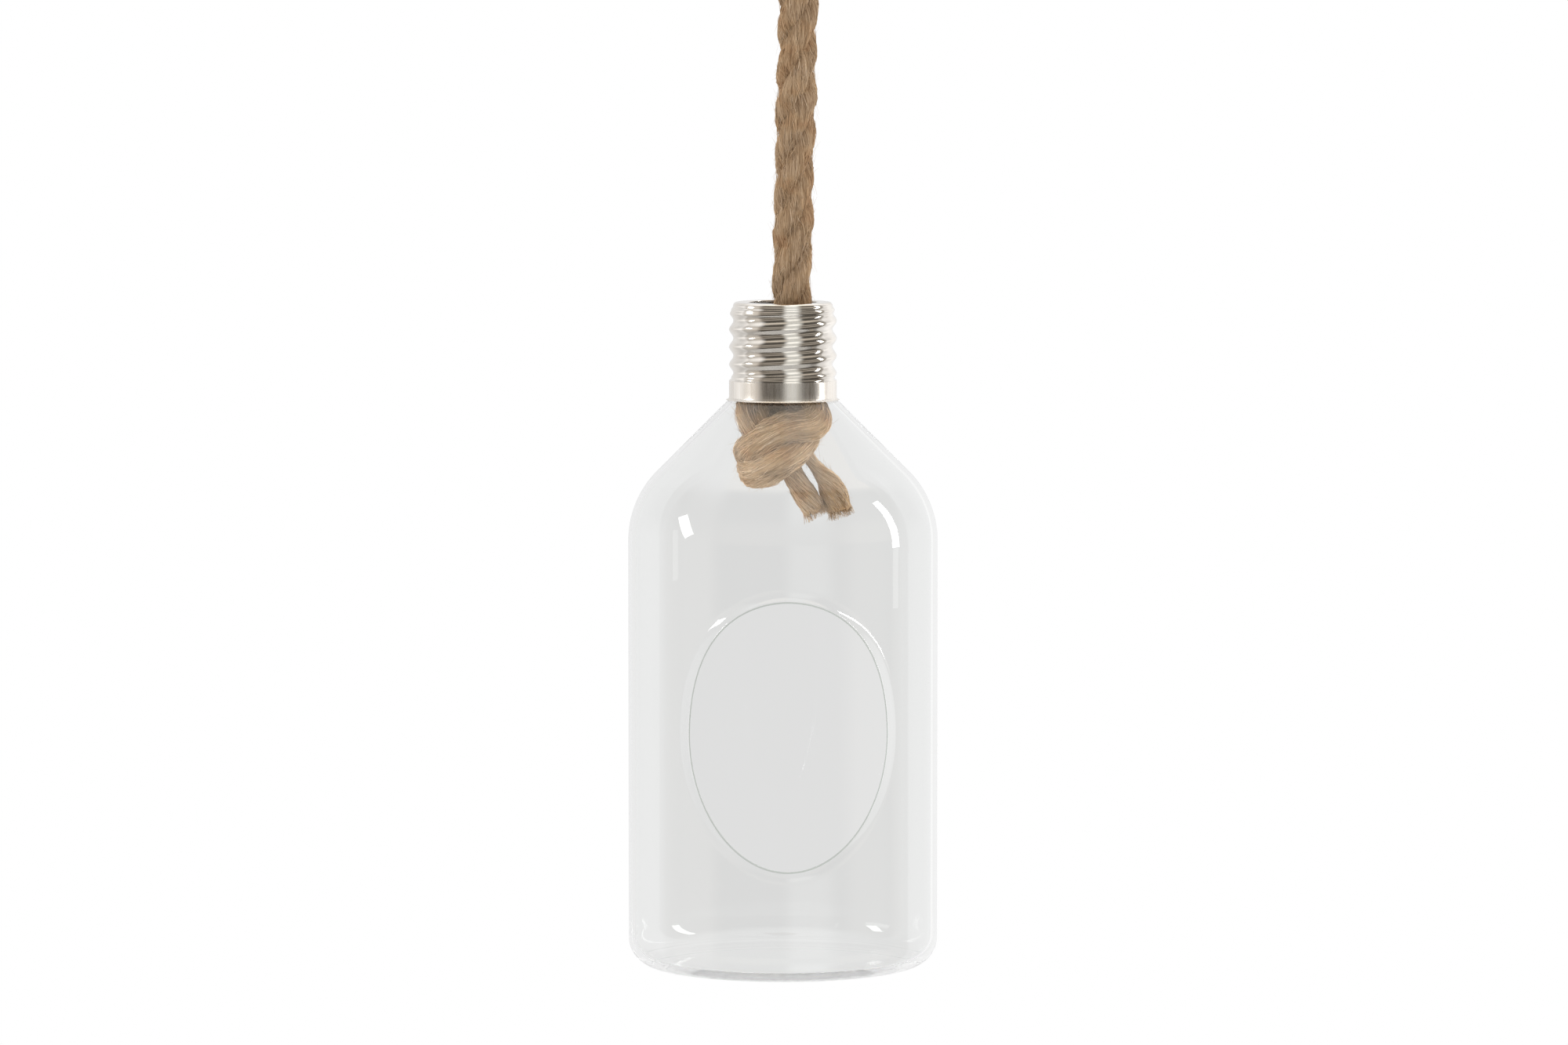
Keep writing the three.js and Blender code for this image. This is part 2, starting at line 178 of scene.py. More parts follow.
SIDE_LEVELS = [(-0.3, 0.72), (-0.12, 1), (0.06, 1), (0.26, 0.72), (0.56, 0.74), (0.74, 1)]
FRONT_TINT = (1, 0.91, 0.79)
FRONT_LEVELS = [
    (-0.77, 0.45), (-0.72, 0.16), (-0.69, 0.09), (-0.4, 0.09), (-0.28, 0.42), (-0.13, 0.42),
    (-0.1, 0.06), (0.025, 0.06), (0.05, 0.42), (0.21, 0.42), (0.32, 0.09), (0.6, 0.09),
    (0.63, 0.16), (0.67, 0.45), (0.74, 1.5),
]
STRIP_TINT = (1, 1.01, 0.98)
STRIP_LEVELS = [
    (-0.77, 0.5), (-0.71, 0.9), (-0.66, 1.25), (-0.42, 1.25), (-0.3, 0.8), (-0.13, 0.6),
    (-0.1, 0.85), (0.025, 0.85), (0.05, 0.6), (0.22, 0.8), (0.33, 1.2), (0.57, 1.2),
    (0.62, 0.8), (0.67, 0.5), (0.74, 1.5),
]
STUDIO_CEILING = (1.35,) * 3
STUDIO_GROUND = (0.6,) * 3
STUDIO_FILL = (1,) * 3
SWEEP_GREY = (0.775,) * 3
LIGHT_BOUNCES = 300
# Where one part of the studio passes into the next, in degrees or as part of a direction's unit vector
FRONT_LEFT, FRONT_RIGHT = (-58, -40), (92, 84)
STRIP_LEFT, STRIP_RIGHT = (-3, 11), (46, 27)
CEILING_START, GROUND_START = (0.55, 0.9), (-0.6, -0.9)
BACK_START, SIDES_END = (0.1, 0.5), (0.45, 0.75)
LAMP_DISTANCE = 1.2
FLOOR_DROP = 0.3
FLOOR_HALF = 1.6
FLOOR_GLOW = 0.7


def add_camera():
    data = bpy.data.cameras.new("photo_camera")
    data.sensor_width = SENSOR
    data.lens = SENSOR * FOCAL_PIXELS / PHOTO_WIDTH
    camera = bpy.data.objects.new("photo_camera", data)
    camera.location = CAMERA_PLACE
    camera.rotation_euler = (math.pi / 2 - CAMERA_PITCH, 0, 0)
    scene.collection.objects.link(camera)
    scene.camera = camera


def node_material(name):
    """A new material with its node tree and its principled shader."""
    material = bpy.data.materials.new(name)
    material.use_nodes = True
    return material, material.node_tree, material.node_tree.nodes["Principled BSDF"]


def add_node(tree, kind, **settings):
    node = tree.nodes.new(kind)
    for key, value in settings.items():
        if key in node.inputs:
            node.inputs[key].default_value = value
        else:
            setattr(node, key, value)
    return node


def set_inputs(node, values):
    for name, value in values.items():
        node.inputs[name].default_value = value


def link(output, socket):
    output.id_data.links.new(output, socket)


def colour_ramp(tree, factor, stops):
    """Colours by a factor, from stops of (place, colour)."""
    ramp = tree.nodes.new("ShaderNodeValToRGB")
    elements = ramp.color_ramp.elements
    while len(elements) < len(stops):
        elements.new(0.5)
    for element, (place, colour) in zip(elements, stops):
        element.position = place
        element.color = (*colour, 1)
    link(factor, ramp.inputs["Fac"])
    return ramp.outputs["Color"]


def add_noise(tree, place, scale, detail, roughness=0.5):
    """Noise in coordinates with a scale of their own in each direction."""
    mapping = add_node(tree, "ShaderNodeMapping", Scale=scale)
    noise = add_node(tree, "ShaderNodeTexNoise", Scale=1.0, Detail=detail, Roughness=roughness)
    link(place, mapping.inputs["Vector"])
    link(mapping.outputs["Vector"], noise.inputs["Vector"])
    return noise.outputs["Fac"]


def fibre_noise(tree, across, along):
    """Noise drawn out along the fibres, by the rope's own coordinates."""
    place = add_node(tree, "ShaderNodeAttribute", attribute_name="fibre").outputs["Vector"]
    return add_noise(tree, place, (across, across, along), 3.0, 0.6)


def own_place(tree):
    return tree.nodes.new("ShaderNodeTexCoord").outputs["Object"]


def object_noise(tree, scale, detail):
    noise = add_node(tree, "ShaderNodeTexNoise", Scale=scale, Detail=detail)
    link(own_place(tree), noise.inputs["Vector"])
    return noise.outputs["Fac"]


def add_bump(tree, height, normal, strength, distance):
    bump = add_node(tree, "ShaderNodeBump", Strength=strength, Distance=distance)
    link(height, bump.inputs["Height"])
    link(bump.outputs["Normal"], normal)


def multiply_colours(tree, first, second):
    mix = add_node(tree, "ShaderNodeMix", data_type="RGBA", blend_type="MULTIPLY")
    mix.inputs["Factor"].default_value = 1.0
    link(first, mix.inputs[6])
    link(second, mix.inputs[7])
    return mix.outputs[2]


def mix_surface(tree, factor, first, second):
    """A material's surface that goes from one shader to another."""
    mix = tree.nodes.new("ShaderNodeMixShader")
    link(factor, mix.inputs["Fac"])
    link(first, mix.inputs[1])
    link(second, mix.inputs[2])
    link(mix.outputs["Shader"], tree.nodes["Material Output"].inputs["Surface"])


def jute_material(name, dark, middle, light):
    """Dry bast fibre, streaked along its run, in paler and browner patches."""
    material, tree, shader = node_material(name)
    fine = colour_ramp(tree, fibre_noise(tree, 2600, 80), [(0.34, dark), (0.5, middle), (0.66, light)])
    patches = [
        (0.29, (0.82, 0.79, 0.75)),
        (0.41, (1, 1, 1)),
        (0.5, (1, 0.985, 0.945)),
        (0.59, (0.99, 0.925, 0.84)),
        (0.7, (0.92, 0.8, 0.7)),
    ]
    patches = colour_ramp(tree, object_noise(tree, 130.0, 3.0), patches)
    link(multiply_colours(tree, fine, patches), shader.inputs["Base Color"])
    add_bump(tree, fibre_noise(tree, 5200, 160), shader.inputs["Normal"], 0.4, 0.15 * MM)
    looks = {"Roughness": 0.8, "Specular IOR Level": 0.2, "Sheen Weight": 0.08, "Sheen Roughness": 0.5}
    set_inputs(shader, {**looks, "Sheen Tint": (0.9, 0.72, 0.52, 1)})
    return material


def glass_material(name, coat, colour=(0.995, 0.998, 0.995)):
    """Clear glass that hardly bends what is behind it. Its coat shines as glass does, faintly wavy."""
    material, tree, shader = node_material(name)
    glass = {"Base Color": (*colour, 1), "Roughness": 0.0, "IOR": 1.012, "Transmission Weight": 1.0}
    set_inputs(shader, {**glass, "Coat Weight": coat, "Coat Roughness": 0.0, "Coat IOR": 1.6})
    add_bump(tree, object_noise(tree, 28.0, 1.0), shader.inputs["Coat Normal"], 0.05, 2 * MM)
    path = tree.nodes.new("ShaderNodeLightPath")
    clear = add_node(tree, "ShaderNodeBsdfTransparent", Color=(0.94, 0.95, 0.945, 1))
    mix_surface(tree, path.outputs["Is Shadow Ray"], shader.outputs["BSDF"], clear.outputs["BSDF"])
    return material


def nickel_material(name, roughness_low, roughness_high, streaks):
    """Bright plated sheet, with fine marks that make its gloss uneven."""
    material, tree, shader = node_material(name)
    marks = add_noise(tree, own_place(tree), streaks, 3.0, 0.65)
    gloss = tree.nodes.new("ShaderNodeMapRange")
    set_inputs(gloss, {"To Min": roughness_low, "To Max": roughness_high})
    link(marks, gloss.inputs["Value"])
    link(gloss.outputs["Result"], shader.inputs["Roughness"])
    tint = colour_ramp(tree, marks, [(0.3, (0.74, 0.69, 0.63)), (0.7, (0.86, 0.82, 0.77))])
    link(tint, shader.inputs["Base Color"])
    shader.inputs["Metallic"].default_value = 1.0
    return material


def cement_material():
    material, tree, shader = node_material("neck_cement")
    grain = add_node(tree, "ShaderNodeTexNoise", Scale=900.0, Detail=4.0)
    tint = colour_ramp(tree, grain.outputs["Fac"], [(0.3, (0.55, 0.53, 0.49)), (0.7, (0.72, 0.7, 0.66))])
    link(tint, shader.inputs["Base Color"])
    shader.inputs["Roughness"].default_value = 0.9
    return material


# The strands' under-layer, seen in the gaps between fibres, is darker than the fibres: painted shade for those
# gaps.
CORE_PAINTED_SHADE = jute_material("jute_core_painted_shade", (0.19, 0.12, 0.065), (0.34, 0.225, 0.135), (0.47, 0.335, 0.215))
JUTE = jute_material("jute", (0.32, 0.208, 0.12), (0.495, 0.345, 0.215), (0.665, 0.505, 0.35))
FUZZ = jute_material("jute_fuzz", (0.42, 0.3, 0.19), (0.58, 0.44, 0.31), (0.76, 0.62, 0.47))
# Paler copies of the rope's jute for the knot: painted light, so the knot inside the glass shows as bright as
# it does. Its under-layer, darker than its fibres, is painted shade as well.
KNOT_CORE_PAINTED_LIGHT_SHADE = jute_material("jute_knot_core_painted_light_shade", (0.29, 0.185, 0.095), (0.43, 0.285, 0.165), (0.54, 0.38, 0.235))
KNOT_JUTE_PAINTED_LIGHT = jute_material("jute_knot_painted_light", (0.43, 0.3, 0.19), (0.7, 0.515, 0.345), (0.89, 0.72, 0.53))
TWINE = jute_material("jute_twine", (0.22, 0.14, 0.08), (0.42, 0.3, 0.18), (0.58, 0.43, 0.28))
# A paler copy of the rope's jute for the tails: painted light.
TAIL_JUTE_PAINTED_LIGHT = jute_material("jute_tail_painted_light", (0.38, 0.26, 0.165), (0.565, 0.415, 0.28), (0.735, 0.59, 0.44))
ROPE_MATERIALS = [CORE_PAINTED_SHADE, JUTE, FUZZ]
TAIL_MATERIALS = [KNOT_CORE_PAINTED_LIGHT_SHADE, TAIL_JUTE_PAINTED_LIGHT, FUZZ]
KNOT_MATERIALS = [KNOT_CORE_PAINTED_LIGHT_SHADE, KNOT_JUTE_PAINTED_LIGHT, FUZZ]
GLASS = glass_material("clear_glass", 1.0)
INNER_GLASS = glass_material("clear_glass_inside", 0.0)
# Darker, faintly green glass for the rows at the lip's rounded tip: painted shade for the dark line along the
# rim.
EDGE_GLASS_PAINTED_SHADE = glass_material("clear_glass_edge_painted_shade", 1.0, (0.5, 0.55, 0.5))
NICKEL = nickel_material("nickel_polished", 0.07, 0.16, (90, 90, 260))
BRUSHED = nickel_material("nickel_brushed", 0.2, 0.34, (1500, 1500, 60))


def add_mesh(name, vertices, faces, materials, fibre=None, face_materials=None):
    """A smooth mesh object from arrays, with the rope's own coordinates where it is a rope."""
    mesh = bpy.data.meshes.new(name)
    mesh.from_pydata(vertices.tolist(), [], faces)
    for material in materials:
        mesh.materials.append(material)
    mesh.polygons.foreach_set("use_smooth", [True] * len(mesh.polygons))
    if face_materials is not None:
        mesh.polygons.foreach_set("material_index", face_materials)
    if fibre is not None:
        attribute = mesh.attributes.new("fibre", "FLOAT_VECTOR", "POINT")
        attribute.data.foreach_set("vector", fibre.astype(np.float32).ravel())
    mesh.update()
    piece = bpy.data.objects.new(name, mesh)
    scene.collection.objects.link(piece)
    return piece


def hand_in(piece, node, body):
    """Hides one node of the model and puts a piece in its place, riding on one body."""
    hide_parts(node)
    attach(piece, body)
    return piece


def grid_faces(rows, columns, first=0, closed=True):
    """Quads of a grid of vertices, row by row, whose columns may close on themselves."""
    i, j = np.meshgrid(np.arange(rows - 1), np.arange(columns if closed else columns - 1), indexing="ij")
    low = first + i * columns
    k = (j + 1) % columns
    return np.stack([low + j, low + k, low + columns + k, low + columns + j], axis=-1).reshape(-1, 4)


def unit(vectors):
    return vectors / np.linalg.norm(vectors, axis=-1)[..., None]


def square_to(way, vectors):
    """Unit vectors at right angles to a way."""
    return unit(vectors - way * np.sum(vectors * way, axis=-1)[..., None])


def steps_of(line):
    return np.linalg.norm(np.diff(line, axis=0), axis=1)


def run_along(line):
    return np.concatenate([[0], np.cumsum(steps_of(line))])


def smooth_route(points, step):
    """A smooth line through given points, as points an even step apart."""
    knots = np.array(points, float)
    ends = np.vstack([2 * knots[0] - knots[1], knots, 2 * knots[-1] - knots[-2]])
    fine = []
    shares = np.linspace(0, 1, 40, endpoint=False)[:, None]
    for a, b, c, d in zip(ends, ends[1:], ends[2:], ends[3:]):
        bend = 2 * b + (c - a) * shares + (2 * a - 5 * b + 4 * c - d) * shares**2
        fine.append(0.5 * (bend + (3 * b - a - 3 * c + d) * shares**3))
    line = np.vstack([*fine, knots[-1:]])
    run = run_along(line[:, :3])
    even = np.linspace(0, run[-1], max(2, round(run[-1] / step)) + 1)
    return np.column_stack([np.interp(even, run, column) for column in line.T])


def frames_along(line):
    """Run, tangents, normals and binormals of a line, turned as little as possible."""
    tangents = unit(np.gradient(line, axis=0))
    normals = np.empty_like(tangents)
    start = np.cross(tangents[0], (0, 1, 0))
    normals[0] = start / np.linalg.norm(start)
    for i in range(1, len(line)):
        turned = normals[i - 1] - tangents[i] * (normals[i - 1] @ tangents[i])
        normals[i] = turned / np.linalg.norm(turned)
    return run_along(line), tangents, normals, np.cross(tangents, normals)


class Tufts:
    """Collects strands, fibres and hairs of one piece, with their own coordinates and materials."""

    def __init__(self):
        self.vertices, self.faces, self.fibre, self.face_materials = [], [], [], []
        self.count = 0

    def add(self, vertices, faces, fibre, material):
        self.faces += (np.asarray(faces) + self.count).tolist()
        self.vertices.append(vertices)
        self.fibre.append(fibre)
        self.face_materials += [material] * len(faces)
        self.count += len(vertices)

    def piece(self, name, materials):
        vertices = np.vstack(self.vertices)
        return add_mesh(name, vertices, self.faces, materials, np.vstack(self.fibre), self.face_materials)


# The under-layer's slot carries painted shade: its jute is darker than the fibres laid on it.
CORE_PAINTED_SHADE_SLOT, FIBRE_SLOT, FUZZ_SLOT = 0, 1, 2
YARNS = 10
YARN_RELIEF = 0.1


def strand_surface(centres, normals, binormals, run, radii, turn, columns, offset):
    """Surface of one strand whose columns are its fibres, each at its own height."""
    angles = 2 * np.pi * np.arange(columns) / columns
    heights = rng.normal(0, 0.03, columns)
    waves = rng.uniform(0, 2 * np.pi, columns)
    lengths = rng.uniform(14, 40, columns) * MM
    yarns = YARN_RELIEF * (np.abs(np.sin(YARNS * angles / 2 + waves[0])) - 0.64)
    rise = 1 + heights + yarns + 0.03 * np.sin(2 * np.pi * run[:, None] / lengths + waves)
    spin = angles[None, :] + turn[:, None]
    reach = radii[:, None] * rise
    across = (reach * np.cos(spin))[..., None] * normals[:, None, :]
    upward = (reach * np.sin(spin))[..., None] * binormals[:, None, :]
    surface = centres[:, None, :] + across + upward
    own = np.empty_like(surface)
    own[..., 0] = radii[:, None] * np.cos(angles)
    own[..., 1] = radii[:, None] * np.sin(angles)
    own[..., 2] = run[:, None] + offset
    return surface, own


def add_surface(tufts, surface, own, centres):
    """A strand's surface with both of its ends closed on one vertex each."""
    rows, columns = surface.shape[:2]
    last = (rows - 1) * columns
    near, far = rows * columns, rows * columns + 1
    vertices = np.vstack([surface.reshape(-1, 3), centres[[0, -1]]])
    fibre = np.vstack([own.reshape(-1, 3), own[[0, -1], 0]])
    tufts.add(vertices, grid_faces(rows, columns), fibre, CORE_PAINTED_SHADE_SLOT)
    caps = []
    for j in range(columns):
        k = (j + 1) % columns
        caps += [(near, k, j), (far, last + j, last + k)]
    tufts.faces += (np.array(caps) + tufts.count - len(vertices)).tolist()
    tufts.face_materials += [CORE_PAINTED_SHADE_SLOT] * len(caps)


def add_tubes(tufts, lines, outward, sideways, half_width, half_height, shade, material):
    """Three-sided tubes along many lines at once, flat on the side that they lie on."""
    count, points = lines.shape[:2]
    rings = []
    for angle in np.pi * np.array([1 / 2, 7 / 6, 11 / 6]):
        across = (half_width * math.cos(angle))[..., None] * sideways
        rings.append(lines + across + (half_height * math.sin(angle))[..., None] * outward)
    vertices = np.stack(rings, axis=2).reshape(-1, 3)
    faces = grid_faces(points, 3)[None] + (3 * points * np.arange(count))[:, None, None]
    tufts.add(vertices, faces.reshape(-1, 4), np.repeat(shade.reshape(-1, 3), 3, axis=0), material)


def fibre_shade(count, run):
    """Each fibre's own random place in the colour noise, and the run along it."""
    shade = np.empty((count, run.shape[1], 3))
    shade[..., :2] = rng.random((count, 1, 2))
    shade[..., 2] = run
    return shade


def sample_grid(grid, row, column):
    """Points between the vertices of a grid whose columns close on themselves."""
    columns = grid.shape[1]
    i = np.clip(np.floor(row).astype(int), 0, len(grid) - 2)
    j = np.floor(column).astype(int)
    down = (row - i)[..., None]
    over = (column - j)[..., None]
    j, k = j % columns, (j + 1) % columns
    near = grid[i, j] * (1 - over) + grid[i, k] * over
    far = grid[i + 1, j] * (1 - over) + grid[i + 1, k] * over
    return near * (1 - down) + far * down


FIBRE_POINTS = 6
FIBRE_KINK = 0.08 * MM
HAIR_POINTS = 5
END_ROWS = 6
# Fibres have a length, a half width, a sway and a lift, and hairs a length, a lift and a half width.
ROPE_FIBRES = mm(8, 0.15, 1.4, 0.33)
ROPE_BRIDGES = mm(9, 0.12, 1.8, 0.45)
ROPE_HAIRS = mm(3.5, 1.0, 0.065)
ROPE_LONG_HAIRS = mm(5.5, 1.8, 0.045)
ROPE_TIPS = mm(3.4, 0.3, 0.16)
TAIL_FIBRES = mm(13, 0.2, 1.2, 0.4)
TAIL_HAIRS = mm(4, 0.9, 0.05)
TAIL_TIPS = mm(4.6, 0.3, 0.17)
TWINE_FIBRES = mm(5, 0.07, 0.3, 0.05)
TWINE_HAIRS = mm(2.5, 0.5, 0.035)
# Fibres, bridging fibres and hairs on each millimetre of rope
LOWER_DENSITY = (20, 5, 9)
UPPER_DENSITY = (7, 2, 4)
KNOT_DENSITY = (18, 5, 12)
# How far out, as a share of the rope's radius, a strand is seen
OUTER_SHARE = 0.66
SLEEVE_COLUMNS = 36


def lay_fibres(tufts, surface, centres, axis_line, count, length, width, sway, lift, least):
    """Fibres laid along a surface's columns, some across their neighbours, dipping in at both ends."""
    rows, columns = surface.shape[:2]
    step = steps_of(axis_line).mean()
    span = np.minimum(rng.uniform(0.5, 1.5, count) * length / step, rows - 1)
    first = np.clip(rng.uniform(0, rows - 1, count) - span / 2, 0, rows - 1 - span)
    share = np.linspace(0, 1, FIBRE_POINTS)
    row = first[:, None] + span[:, None] * share
    pitch = np.linalg.norm(surface[:, 1] - surface[:, 0], axis=1).mean()
    bend = rng.normal(0, sway, count)[:, None] * share + rng.normal(0, 0.5 * sway, count)[:, None] * share**2
    bend = bend + rng.normal(0, FIBRE_KINK, (count, FIBRE_POINTS))
    column = rng.uniform(0, columns, count)[:, None] + bend / pitch
    lines = sample_grid(surface, row, column)
    middle = FIBRE_POINTS // 2
    spot = np.clip(np.round(row[:, middle]).astype(int), 0, rows - 1)
    seen = np.linalg.norm(lines[:, middle] - axis_line[spot], axis=1) > least
    lines, row = lines[seen], row[seen]
    count = len(lines)
    outward = unit(lines - sample_grid(np.repeat(centres[:, None], 2, 1), row, np.zeros_like(row)))
    tangent = unit(np.gradient(lines, axis=1))
    outward = square_to(tangent, outward)
    hump = np.sin(np.pi * share) ** 0.6
    rise = lift * rng.uniform(-0.2, 1, count)[:, None] * hump - 0.2 * MM * (1 - hump)
    lines = lines + rise[..., None] * outward
    girth = width * rng.uniform(0.55, 1.45, count)[:, None] * (0.3 + 0.7 * hump)
    shade = fibre_shade(count, row * step)
    add_tubes(tufts, lines, outward, np.cross(outward, tangent), girth, 0.8 * girth, shade, FIBRE_SLOT)


def add_hairs(tufts, roots, along, outward, length, lift, width, material=FUZZ_SLOT):
    """Thin bent hairs that leave a surface along its fibres."""
    count = len(roots)
    share = np.linspace(0, 1, HAIR_POINTS)[None, :, None]
    reach = np.clip(rng.gamma(2.0, length / 2, count), 0.3 * length, 1.4 * length)[:, None, None]
    rise = np.minimum(np.abs(rng.normal(0, lift, count)), 2 * MM)[:, None, None]
    sway = np.clip(rng.normal(0, 0.2, count), -0.25, 0.25)[:, None, None]
    curl = np.clip(rng.normal(0, 0.25, count), -0.3, 0.3)[:, None, None]
    bow = rng.uniform(0.5, 1.6, count)[:, None, None]
    sideways = np.cross(outward, along)
    lines = roots[:, None] + along[:, None] * reach * share * (1 - 0.25 * share * np.abs(curl))
    lines = lines + sideways[:, None] * reach * (sway * share + curl * share**2)
    lines = lines + outward[:, None] * (rise * share**bow - 0.12 * MM)
    girth = width * rng.uniform(0.6, 1.4, count)[:, None] * (1 - 0.7 * share[..., 0])
    shape = lines.shape
    across = np.broadcast_to(sideways[:, None], shape)
    upward = np.broadcast_to(outward[:, None], shape)
    run = np.broadcast_to(0.01 * share[..., 0], shape[:2])
    add_tubes(tufts, lines, upward, across, girth, girth, fibre_shade(count, run), material)


def scatter_hairs(tufts, surface, axis_line, count, length, lift, width, least):
    """Hairs at seeded random places on the outside of a strand."""
    rows, columns = surface.shape[:2]
    i = rng.integers(END_ROWS, rows - END_ROWS, 3 * count)
    j = rng.integers(0, columns, 3 * count)
    outward = surface[i, j] - axis_line[i]
    seen = np.flatnonzero(np.linalg.norm(outward, axis=1) > least)[:count]
    i, j = i[seen], j[seen]
    outward = unit(outward[seen])
    along = square_to(outward, surface[i + 1, j] - surface[i - 1, j])
    along *= rng.choice([-1.0, 1.0], len(seen))[:, None]
    add_hairs(tufts, surface[i, j], along, outward, length, lift, width)


def laid_strands(line, radius, lay, share, columns):
    """Surfaces, own coordinates and centres of three strands laid round a line."""
    run, _, normals, binormals = frames_along(line)
    radius = np.broadcast_to(radius, run.shape)
    strand_radius = share * radius
    centre_radius = radius - strand_radius
    turn = 2 * np.pi * run / lay
    untwist = -turn * (centre_radius / strand_radius).mean()
    strands = []
    for strand in range(3):
        swell = 1 + 0.04 * np.sin(2 * np.pi * (run / (0.031 + 0.012 * rng.random()) + rng.random()))
        place = turn + 2 * np.pi * strand / 3
        reach = np.cos(place)[:, None] * normals + np.sin(place)[:, None] * binormals
        centres = line + centre_radius[:, None] * reach
        surface, own = strand_surface(
            centres, normals, binormals, run, strand_radius * swell, untwist, columns, 0.5 * strand
        )
        strands.append((surface, own, centres))
    return strands


def sleeve(line, radius, columns):
    """A plain round surface about a line, for the fibres that lie across its strands' grooves."""
    _, _, normals, binormals = frames_along(line)
    angles = 2 * np.pi * np.arange(columns) / columns
    across = np.cos(angles)[None, :, None] * normals[:, None]
    return line[:, None] + np.broadcast_to(radius, len(line))[:, None, None] * (
        across + np.sin(angles)[None, :, None] * binormals[:, None]
    )


def dress_rope(tufts, strands, line, part, radius, density):
    """One stretch of a laid rope: strands, their fibres and loose hairs."""
    line = line[part]
    radius = np.broadcast_to(radius, len(line))
    length = steps_of(line).sum() / MM
    least = OUTER_SHARE * radius.mean()
    fibres_per_mm, bridges_per_mm, hairs_per_mm = density
    for surface, own, centres in strands:
        surface, own, centres = surface[part], own[part], centres[part]
        add_surface(tufts, surface, own, centres)
        count = int(fibres_per_mm * length / 3 * 1.6)
        lay_fibres(tufts, surface, centres, line, count, *ROPE_FIBRES, least)
        hairs = int(hairs_per_mm * length / 3)
        scatter_hairs(tufts, surface, line, hairs, *ROPE_HAIRS, least)
        scatter_hairs(tufts, surface, line, hairs // 5, *ROPE_LONG_HAIRS, least)
    around = sleeve(line, 0.9 * radius, SLEEVE_COLUMNS)
    bridges = int(bridges_per_mm * length)
    lay_fibres(tufts, around, line, line, bridges, *ROPE_BRIDGES, 0)


def add_fibres(tufts, strands, line, part, count):
    """More fibres on a short stretch of a laid rope, such as where two pieces meet."""
    for surface, _, centres in strands:
        surface, centres = surface[part], centres[part]
        lay_fibres(tufts, surface, centres, line[part], count, *ROPE_FIBRES, OUTER_SHARE * ROPE_RADIUS)


TAIL_COLUMNS = 26
TAIL_LAY = 70 * MM
TAIL_FIBRE_COUNT = 420
TAIL_HAIR_COUNT = 150
TAIL_TIP_COUNT = 330


def fray_end(tufts, line, frames, count, radius, depth, flare, sizes, ragged=False):
    """Tips of fibres that open outwards at a line's end, unevenly where ragged."""
    _, tangents, normals, binormals = frames
    angle = rng.uniform(0, 2 * np.pi, count)
    outward = np.cos(angle)[:, None] * normals[-1] + np.sin(angle)[:, None] * binormals[-1]
    spread = radius * np.sqrt(rng.random(count))[:, None]
    roots = line[-1] - depth * tangents[-1] + spread * outward
    share = rng.random(count)[:, None] if ragged else 1
    way = unit(tangents[-1] + flare * share * outward)
    add_hairs(tufts, roots, way, square_to(way, outward), *sizes, FIBRE_SLOT)


def frayed_strand(tufts, line, radii):
    """An unlaid strand that opens into a ragged brush at its end."""
    frames = frames_along(line)
    run, tangents, normals, binormals = frames
    turn = -2 * np.pi * run / TAIL_LAY
    surface, own = strand_surface(line, normals, binormals, run, radii, turn, TAIL_COLUMNS, rng.random())
    surface[-1] += tangents[-1] * (rng.uniform(-2.2, 0.2, TAIL_COLUMNS) * MM)[:, None]
    add_surface(tufts, surface, own, np.vstack([line[:-1], line[-1] - 2 * MM * tangents[-1]]))
    lay_fibres(tufts, surface, line, line, TAIL_FIBRE_COUNT, *TAIL_FIBRES, 0)
    scatter_hairs(tufts, surface, line, TAIL_HAIR_COUNT, *TAIL_HAIRS, 0)
    fray_end(tufts, line, frames, TAIL_TIP_COUNT, radii[-1], 4.5 * MM, 0.22, TAIL_TIPS, ragged=True)


def metres(points, base_z=0.0):
    return [(x * MM, y * MM, base_z + z * MM) for x, y, z in points]


def standing_point(z):
    return (NECK_ROPE_X + ROPE_LEAN * (z - ROPE_BOTTOM_Z), 0.0, z)


ROPE_STEP = 0.9 * MM
LINK_MIDDLE_Z = (FRONT_HINGE_Z + SIDE_HINGE_Z) / 2
STRAND_SHARE = 0.6
STRAND_COLUMNS = 40
# More fibres lie over the seam of the rope's two pieces and on the rows above it that the photo shows.
SEAM_ROWS = 5
SEAM_FIBRES = 150
SEEN_ROWS = 30
SEEN_FIBRES = 180
ROPE_TIP_COUNT = 420
KNOT_LAY = 105 * MM
KNOT_STRAND_SHARE = 0.64
KNOT_COLUMNS = 36
TAIL_STEP = 0.8 * MM


def rope_line():
    """The rope from the neck up and round the eye to its short end, and the row of the bend's middle."""
    standing = [standing_point(z) for z in np.linspace(ROPE_BOTTOM_Z, -96 * MM, 12)]
    line = smooth_route([*standing, *metres(EYE_ROUTE)[::-1]], ROPE_STEP)
    return line, int(np.argmax(line[:, 2] > LINK_MIDDLE_Z))


def bent_rope(piece, nodes):
    """Hides the nodes that a stretch of rope replaces and bakes the stretch's placement into its mesh."""
    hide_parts(*nodes)
    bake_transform(piece)
    return piece


def rope_lower(line, strands, middle):
    """The rope from the middle of its bend down into the neck."""
    tufts = Tufts()
    dress_rope(tufts, strands, line, slice(0, middle + 1), ROPE_RADIUS, LOWER_DENSITY)
    add_fibres(tufts, strands, line, slice(middle - SEAM_ROWS, middle + SEAM_ROWS + 1), SEAM_FIBRES)
    piece = tufts.piece("rope_lower", ROPE_MATERIALS)
    return bent_rope(piece, ["standing_rope", "rope_link"])


